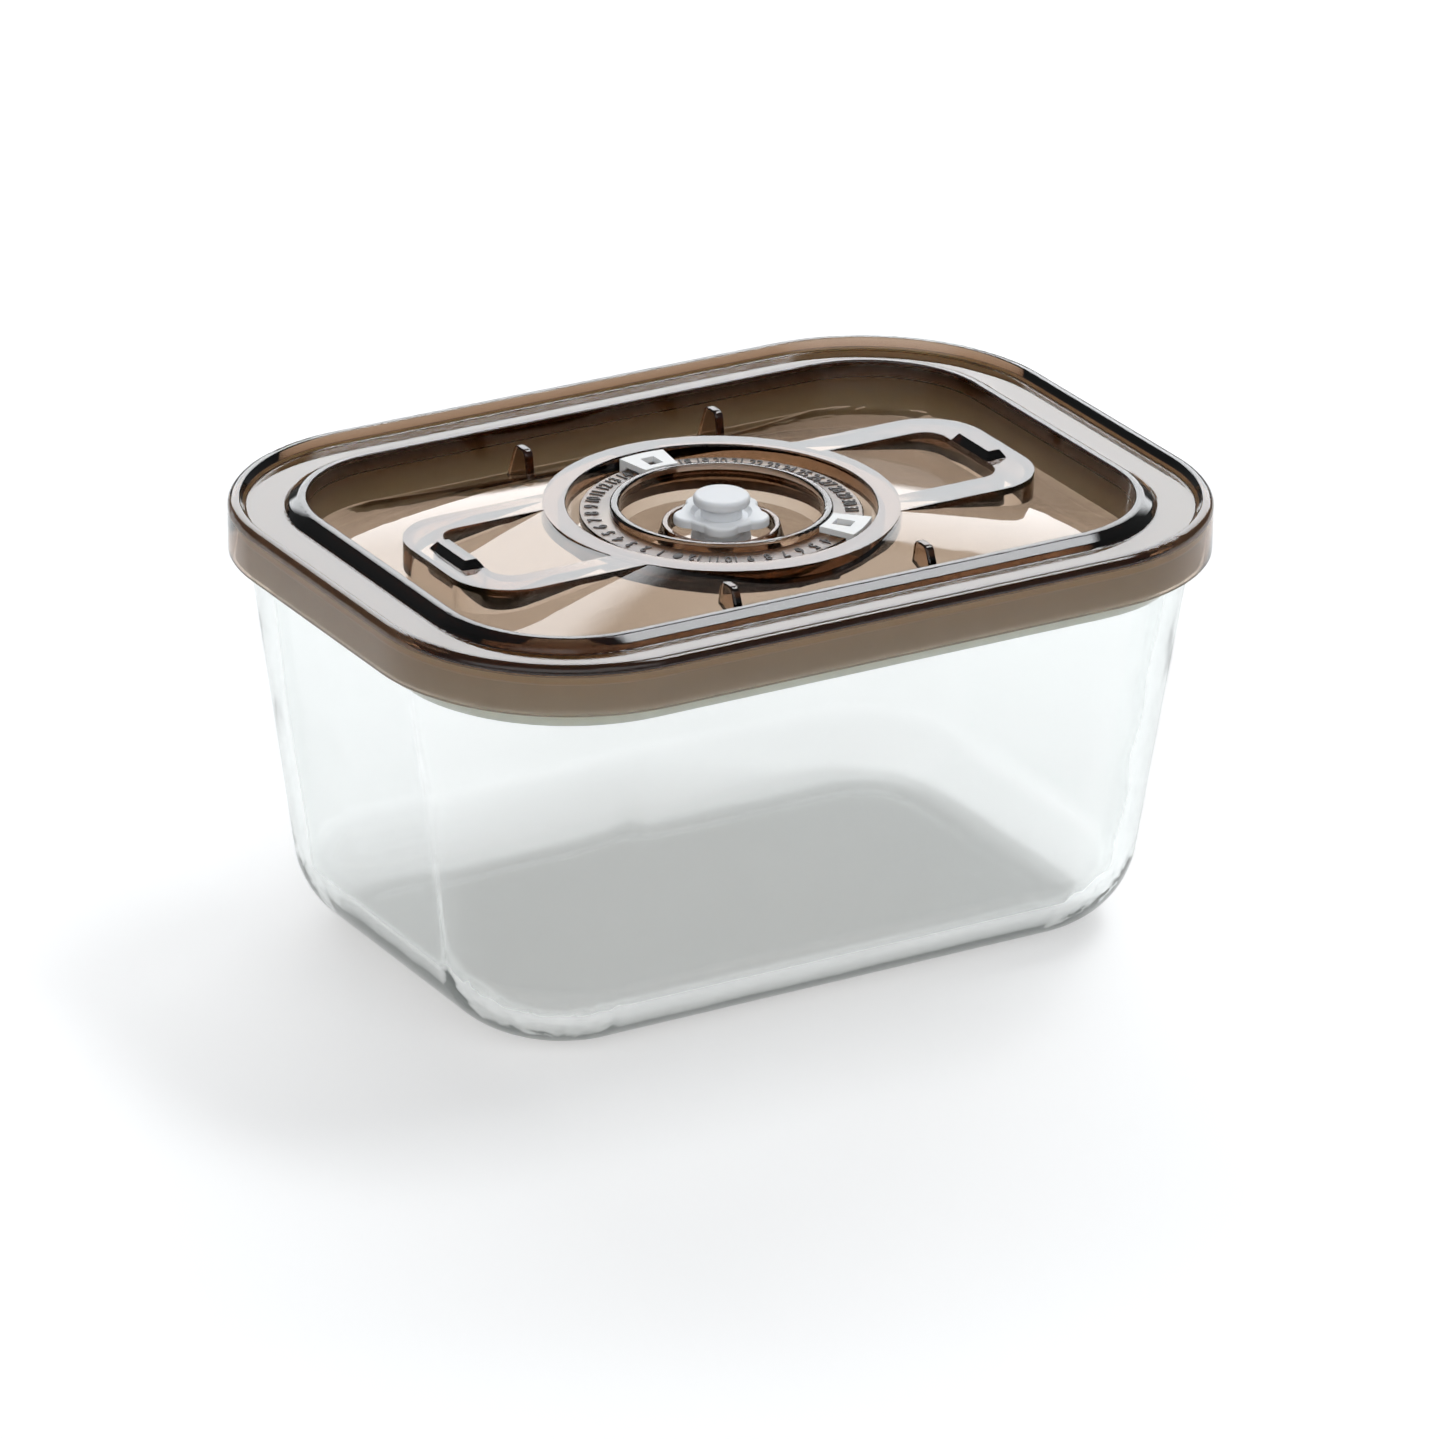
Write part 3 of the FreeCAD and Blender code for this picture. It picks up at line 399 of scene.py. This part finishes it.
def smoke_plastic():
    """Moulded brown clear plastic: polished, with a trace of flow marks, and frosted on the dial's ledge."""
    material, tree, shader = new_material("smoke_plastic")
    shader.inputs["Base Color"].default_value = WHITE
    shader.inputs["Transmission Weight"].default_value = 1.0
    shader.inputs["IOR"].default_value = SMOKE_IOR
    place = add_node(tree, "ShaderNodeTexCoord").outputs["Object"]
    level = add_node(tree, "ShaderNodeVectorMath", {0: place, 1: (1.0, 1.0, 0.0)}, operation="MULTIPLY")
    reach = add_node(tree, "ShaderNodeVectorMath", {0: level.outputs["Vector"]}, operation="LENGTH")
    ring_middle = (LEDGE_INNER + LEDGE_OUTER) / 2
    ring_half = (LEDGE_OUTER - LEDGE_INNER) / 2
    on_ring = within(tree, reach.outputs["Value"], ring_middle, ring_half)
    on_top = within(tree, rise_of(tree, place), LEDGE_TOP, LEDGE_SKIN)
    frost = maths(tree, "MULTIPLY", maths(tree, "MULTIPLY", on_ring, on_top), LEDGE_FROST)
    rough = maths(tree, "ADD", haze(tree, SMOKE_HAZE_SCALE, FINE_DETAIL), frost)
    tree.links.new(rough, shader.inputs["Roughness"])
    flow = object_noise(tree, FLOW_SCALE, SMOOTH_DETAIL, FLOW_STRETCH)
    tree.links.new(bump(tree, flow, FLOW_DEPTH, FLOW_STRENGTH), shader.inputs["Normal"])
    tint_inside(tree, SMOKE_TINT, SMOKE_DENSITY)
    return material


def soft_white(name, pale, shade, roughness, grain, relief, depth, share=SKIN_SHARE):
    """A white moulded finish: slight clouding, a satin grain and light a little way into it."""
    material, tree, shader = new_material(name)
    colour = blend_colours(tree, drift(tree, CLOUD_SCALE), pale, shade)
    tree.links.new(colour, shader.inputs["Base Color"])
    low, high = (roughness + spread for spread in SATIN_SPREAD)
    tree.links.new(drift(tree, grain * SATIN_PATCHES, low, high), shader.inputs["Roughness"])
    skin = bump(tree, object_noise(tree, grain, FINE_DETAIL), relief, GRAIN_STRENGTH)
    tree.links.new(skin, shader.inputs["Normal"])
    shader.inputs["Specular IOR Level"].default_value = SATIN_SPECULAR
    shader.inputs["Subsurface Weight"].default_value = share
    shader.inputs["Subsurface Radius"].default_value = SKIN_COLOUR_REACH
    shader.inputs["Subsurface Scale"].default_value = depth
    return material


def seal_silicone():
    """The gasket: milky, with painted light making the key that fills the lid's groove warmer and brighter,
    and a painted pale highlight line where key and leg meet.
    """
    material = soft_white("seal_silicone", **SEAL_MILKY)
    tree = material.node_tree
    height = rise_of(tree, add_node(tree, "ShaderNodeTexCoord").outputs["Object"])
    cloud = drift(tree, CLOUD_SCALE)
    # Painted light: the key above its foot is coloured brighter and warmer, with a painted pale highlight
    # line along the foot.
    painted_light_mask = maths(tree, "GREATER_THAN", height, KEY_FOOT)
    painted_highlight_mask = within(tree, height, KEY_FOOT, PAINTED_HIGHLIGHT_WIDTH / 2)
    leg = blend_colours(tree, cloud, *LEG_SHADES)
    key = blend_colours(tree, cloud, *KEY_PAINTED_LIGHT_SHADES)
    colour = blend_colours(tree, painted_highlight_mask, blend_colours(tree, painted_light_mask, leg, key), SEAM_PAINTED_HIGHLIGHT)
    tree.links.new(colour, find_node(tree, "BSDF_PRINCIPLED").inputs["Base Color"])
    return material


def matt_numbers():
    """The raised numbers: the lid's plastic left matt and dark, to stand out on the pale frosted ledge."""
    material, tree, shader = new_material("matt_numbers")
    colour = blend_colours(tree, drift(tree, NUMBER_CLOUD_SCALE), *NUMBER_SHADES)
    tree.links.new(colour, shader.inputs["Base Color"])
    tree.links.new(drift(tree, NUMBER_GRAIN_SCALE, *NUMBER_ROUGHNESS), shader.inputs["Roughness"])
    shader.inputs["Specular IOR Level"].default_value = NUMBER_SPECULAR
    return material


# Dial


def group_socket(tree, name, kind, way="INPUT"):
    return tree.interface.new_socket(name, in_out=way, socket_type=kind)


def vector_from(tree, **parts):
    return add_node(tree, "ShaderNodeCombineXYZ", parts).outputs["Vector"]


def dial_number_tree():
    """Numbers that count up clockwise on the ledge, tops outwards, as one raised mesh."""
    tree = bpy.data.node_groups.new("dial_numbers", "GeometryNodeTree")
    for name, kind in (
        ("Count", "NodeSocketInt"),
        ("Mark Angle", "NodeSocketFloat"),
        ("Step", "NodeSocketFloat"),
        ("Ring", "NodeSocketFloat"),
        ("Height", "NodeSocketFloat"),
        ("Narrowing", "NodeSocketFloat"),
        ("Weight", "NodeSocketFloat"),
        ("Relief", "NodeSocketFloat"),
        ("Ledge", "NodeSocketFloat"),
        ("Mark Size", "NodeSocketVector"),
        ("Finish", "NodeSocketMaterial"),
    ):
        group_socket(tree, name, kind)
    group_socket(tree, "Geometry", "NodeSocketGeometry", "OUTPUT")
    given = add_node(tree, "NodeGroupInput").outputs
    start = tree.nodes.new("GeometryNodeRepeatInput")
    end = tree.nodes.new("GeometryNodeRepeatOutput")
    start.pair_with_output(end)
    tree.links.new(given["Count"], start.inputs["Iterations"])

    number = maths(tree, "ADD", start.outputs["Iteration"], 1.0)
    text = add_node(tree, "FunctionNodeValueToString", {"Value": number})
    outline = add_node(
        tree,
        "GeometryNodeStringToCurves",
        {"String": text.outputs["String"], "Size": given["Height"]},
        align_x="CENTER",
        align_y="MIDDLE",
    )
    narrow = vector_from(tree, X=given["Narrowing"], Y=1.0, Z=1.0)
    glyphs = add_node(tree, "GeometryNodeRealizeInstances", {"Geometry": outline.outputs["Curve Instances"]})
    slim = add_node(tree, "GeometryNodeTransform", {"Geometry": glyphs.outputs[0], "Scale": narrow})
    drawn = add_node(tree, "GeometryNodeResampleCurve", {"Curve": slim.outputs[0]}, mode="EVALUATED")
    along = tree.nodes.new("GeometryNodeInputTangent").outputs["Tangent"]
    aside = add_node(
        tree, "ShaderNodeVectorMath", {0: along, 1: vector_from(tree, Z=1.0)}, operation="CROSS_PRODUCT"
    )
    spread = add_node(
        tree,
        "ShaderNodeVectorMath",
        {0: aside.outputs["Vector"], "Scale": given["Weight"]},
        operation="SCALE",
    )
    heavy = add_node(
        tree, "GeometryNodeSetPosition", {"Geometry": drawn.outputs[0], "Offset": spread.outputs["Vector"]}
    )
    face = add_node(tree, "GeometryNodeFillCurve", {"Curve": heavy.outputs[0]}, mode="TRIANGLES")
    raised = add_node(
        tree,
        "GeometryNodeExtrudeMesh",
        {"Mesh": face.outputs["Mesh"], "Offset Scale": given["Relief"], "Individual": False},
    )
    under = add_node(tree, "GeometryNodeFlipFaces", {"Mesh": face.outputs["Mesh"]})
    closed = tree.nodes.new("GeometryNodeJoinGeometry")
    tree.links.new(raised.outputs["Mesh"], closed.inputs[0])
    tree.links.new(under.outputs["Mesh"], closed.inputs[0])
    solid = add_node(
        tree, "GeometryNodeMergeByDistance", {"Geometry": closed.outputs[0], "Distance": NUMBER_JOIN}
    )

    def on_ledge(geometry, angle, scale):
        outwards = vector_from(tree, X=maths(tree, "COSINE", angle), Y=maths(tree, "SINE", angle))
        place = add_node(
            tree, "ShaderNodeVectorMath", {0: outwards, "Scale": given["Ring"]}, operation="SCALE"
        )
        lifted = add_node(
            tree,
            "ShaderNodeVectorMath",
            {0: place.outputs["Vector"], 1: vector_from(tree, Z=given["Ledge"])},
            operation="ADD",
        )
        turn = vector_from(tree, Z=maths(tree, "SUBTRACT", angle, QUARTER_TURN))
        return add_node(
            tree,
            "GeometryNodeTransform",
            {"Geometry": geometry, "Translation": lifted.outputs["Vector"], "Rotation": turn, "Scale": scale},
        )

    angle = maths(tree, "SUBTRACT", given["Mark Angle"], maths(tree, "MULTIPLY", number, given["Step"]))
    standing = on_ledge(solid.outputs[0], angle, (1.0, 1.0, 1.0))
    ball = add_node(
        tree, "GeometryNodeMeshUVSphere", {"Segments": MARK_SEGMENTS, "Rings": MARK_RINGS, "Radius": 1.0}
    )
    smooth = add_node(tree, "GeometryNodeSetShadeSmooth", {"Geometry": ball.outputs["Mesh"]})
    mark = on_ledge(smooth.outputs[0], given["Mark Angle"], given["Mark Size"])
    tree.links.new(mark.outputs[0], start.inputs["Geometry"])
    gathered = tree.nodes.new("GeometryNodeJoinGeometry")
    tree.links.new(start.outputs["Geometry"], gathered.inputs[0])
    tree.links.new(standing.outputs[0], gathered.inputs[0])
    tree.links.new(gathered.outputs[0], end.inputs["Geometry"])
    real = add_node(tree, "GeometryNodeRealizeInstances", {"Geometry": end.outputs["Geometry"]})
    finished = add_node(
        tree, "GeometryNodeSetMaterial", {"Geometry": real.outputs[0], "Material": given["Finish"]}
    )
    add_node(tree, "NodeGroupOutput", {"Geometry": finished.outputs[0]})
    return tree


def plain_mesh_from_nodes(name, tree, values):
    """The tree's result as a plain mesh object with no modifier left."""
    carrier = bpy.data.objects.new(name, bpy.data.meshes.new(name))
    scene.collection.objects.link(carrier)
    modifier = carrier.modifiers.new(name, "NODES")
    modifier.node_group = tree
    for item in tree.interface.items_tree:
        if item.in_out == "INPUT" and item.name in values:
            modifier[item.identifier] = values[item.name]
    evaluated = carrier.evaluated_get(bpy.context.evaluated_depsgraph_get())
    mesh = bpy.data.meshes.new_from_object(evaluated)
    carrier.modifiers.remove(modifier)
    carrier.data = mesh
    mesh.name = name
    return carrier


def add_dial_numbers(finish):
    tree = dial_number_tree()
    shared = {
        "Step": DIAL_STEP,
        "Ring": NUMBER_RING,
        "Height": NUMBER_HEIGHT,
        "Narrowing": NUMBER_NARROWING,
        "Weight": NUMBER_WEIGHT,
        "Relief": NUMBER_RELIEF,
        "Ledge": LEDGE_TOP,
        "Mark Size": MARK_SIZE,
        "Finish": finish,
    }
    rings = (
        ("day_numbers", DAY_COUNT, DAY_MARK_ANGLE),
        ("month_numbers", MONTH_COUNT, MONTH_MARK_ANGLE),
    )
    for name, count, angle in rings:
        ring = plain_mesh_from_nodes(name, tree, {**shared, "Count": count, "Mark Angle": angle})
        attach(ring, "lid")


# Dressing the pieces


def finish_node(name, material):
    piece = nodes[name]
    if not piece.material_slots:
        piece.data.materials.append(None)
    for place in piece.material_slots:
        place.link = "OBJECT"
        place.material = material


def even_shading(name, press=0.0):
    """Lets the shading run on from face to face, and presses the piece outwards where it is squeezed."""
    piece = nodes[name]
    joined = piece.modifiers.new("joined", "WELD")
    joined.merge_threshold = SEAM_GAP
    if press:
        swell = piece.modifiers.new("pressed", "DISPLACE")
        swell.strength = press
        swell.mid_level = 0.0
    edges = piece.modifiers.new("edges", "EDGE_SPLIT")
    edges.split_angle = SHARP_EDGE
    edges.use_edge_sharp = False
    even = piece.modifiers.new("even", "WEIGHTED_NORMAL")
    even.mode = "FACE_AREA"
    even.keep_sharp = False


def dress():
    finish_node("glass_bowl", clear_glass())
    finish_node("lid_shell", smoke_plastic())
    finish_node("rim_gasket", seal_silicone())
    finish_node("vent_valve", soft_white("white_silicone", **VALVE_WHITE))
    white_plastic = soft_white("white_plastic", **SLIDER_WHITE)
    finish_node("day_slider", white_plastic)
    finish_node("month_slider", white_plastic)
    for name in nodes:
        even_shading(name, GASKET_PRESS if name == "rim_gasket" else 0.0)
    add_dial_numbers(matt_numbers())


add_camera()
paint_sky()
add_floor()
dress()
scene.view_settings.view_transform = "Standard"
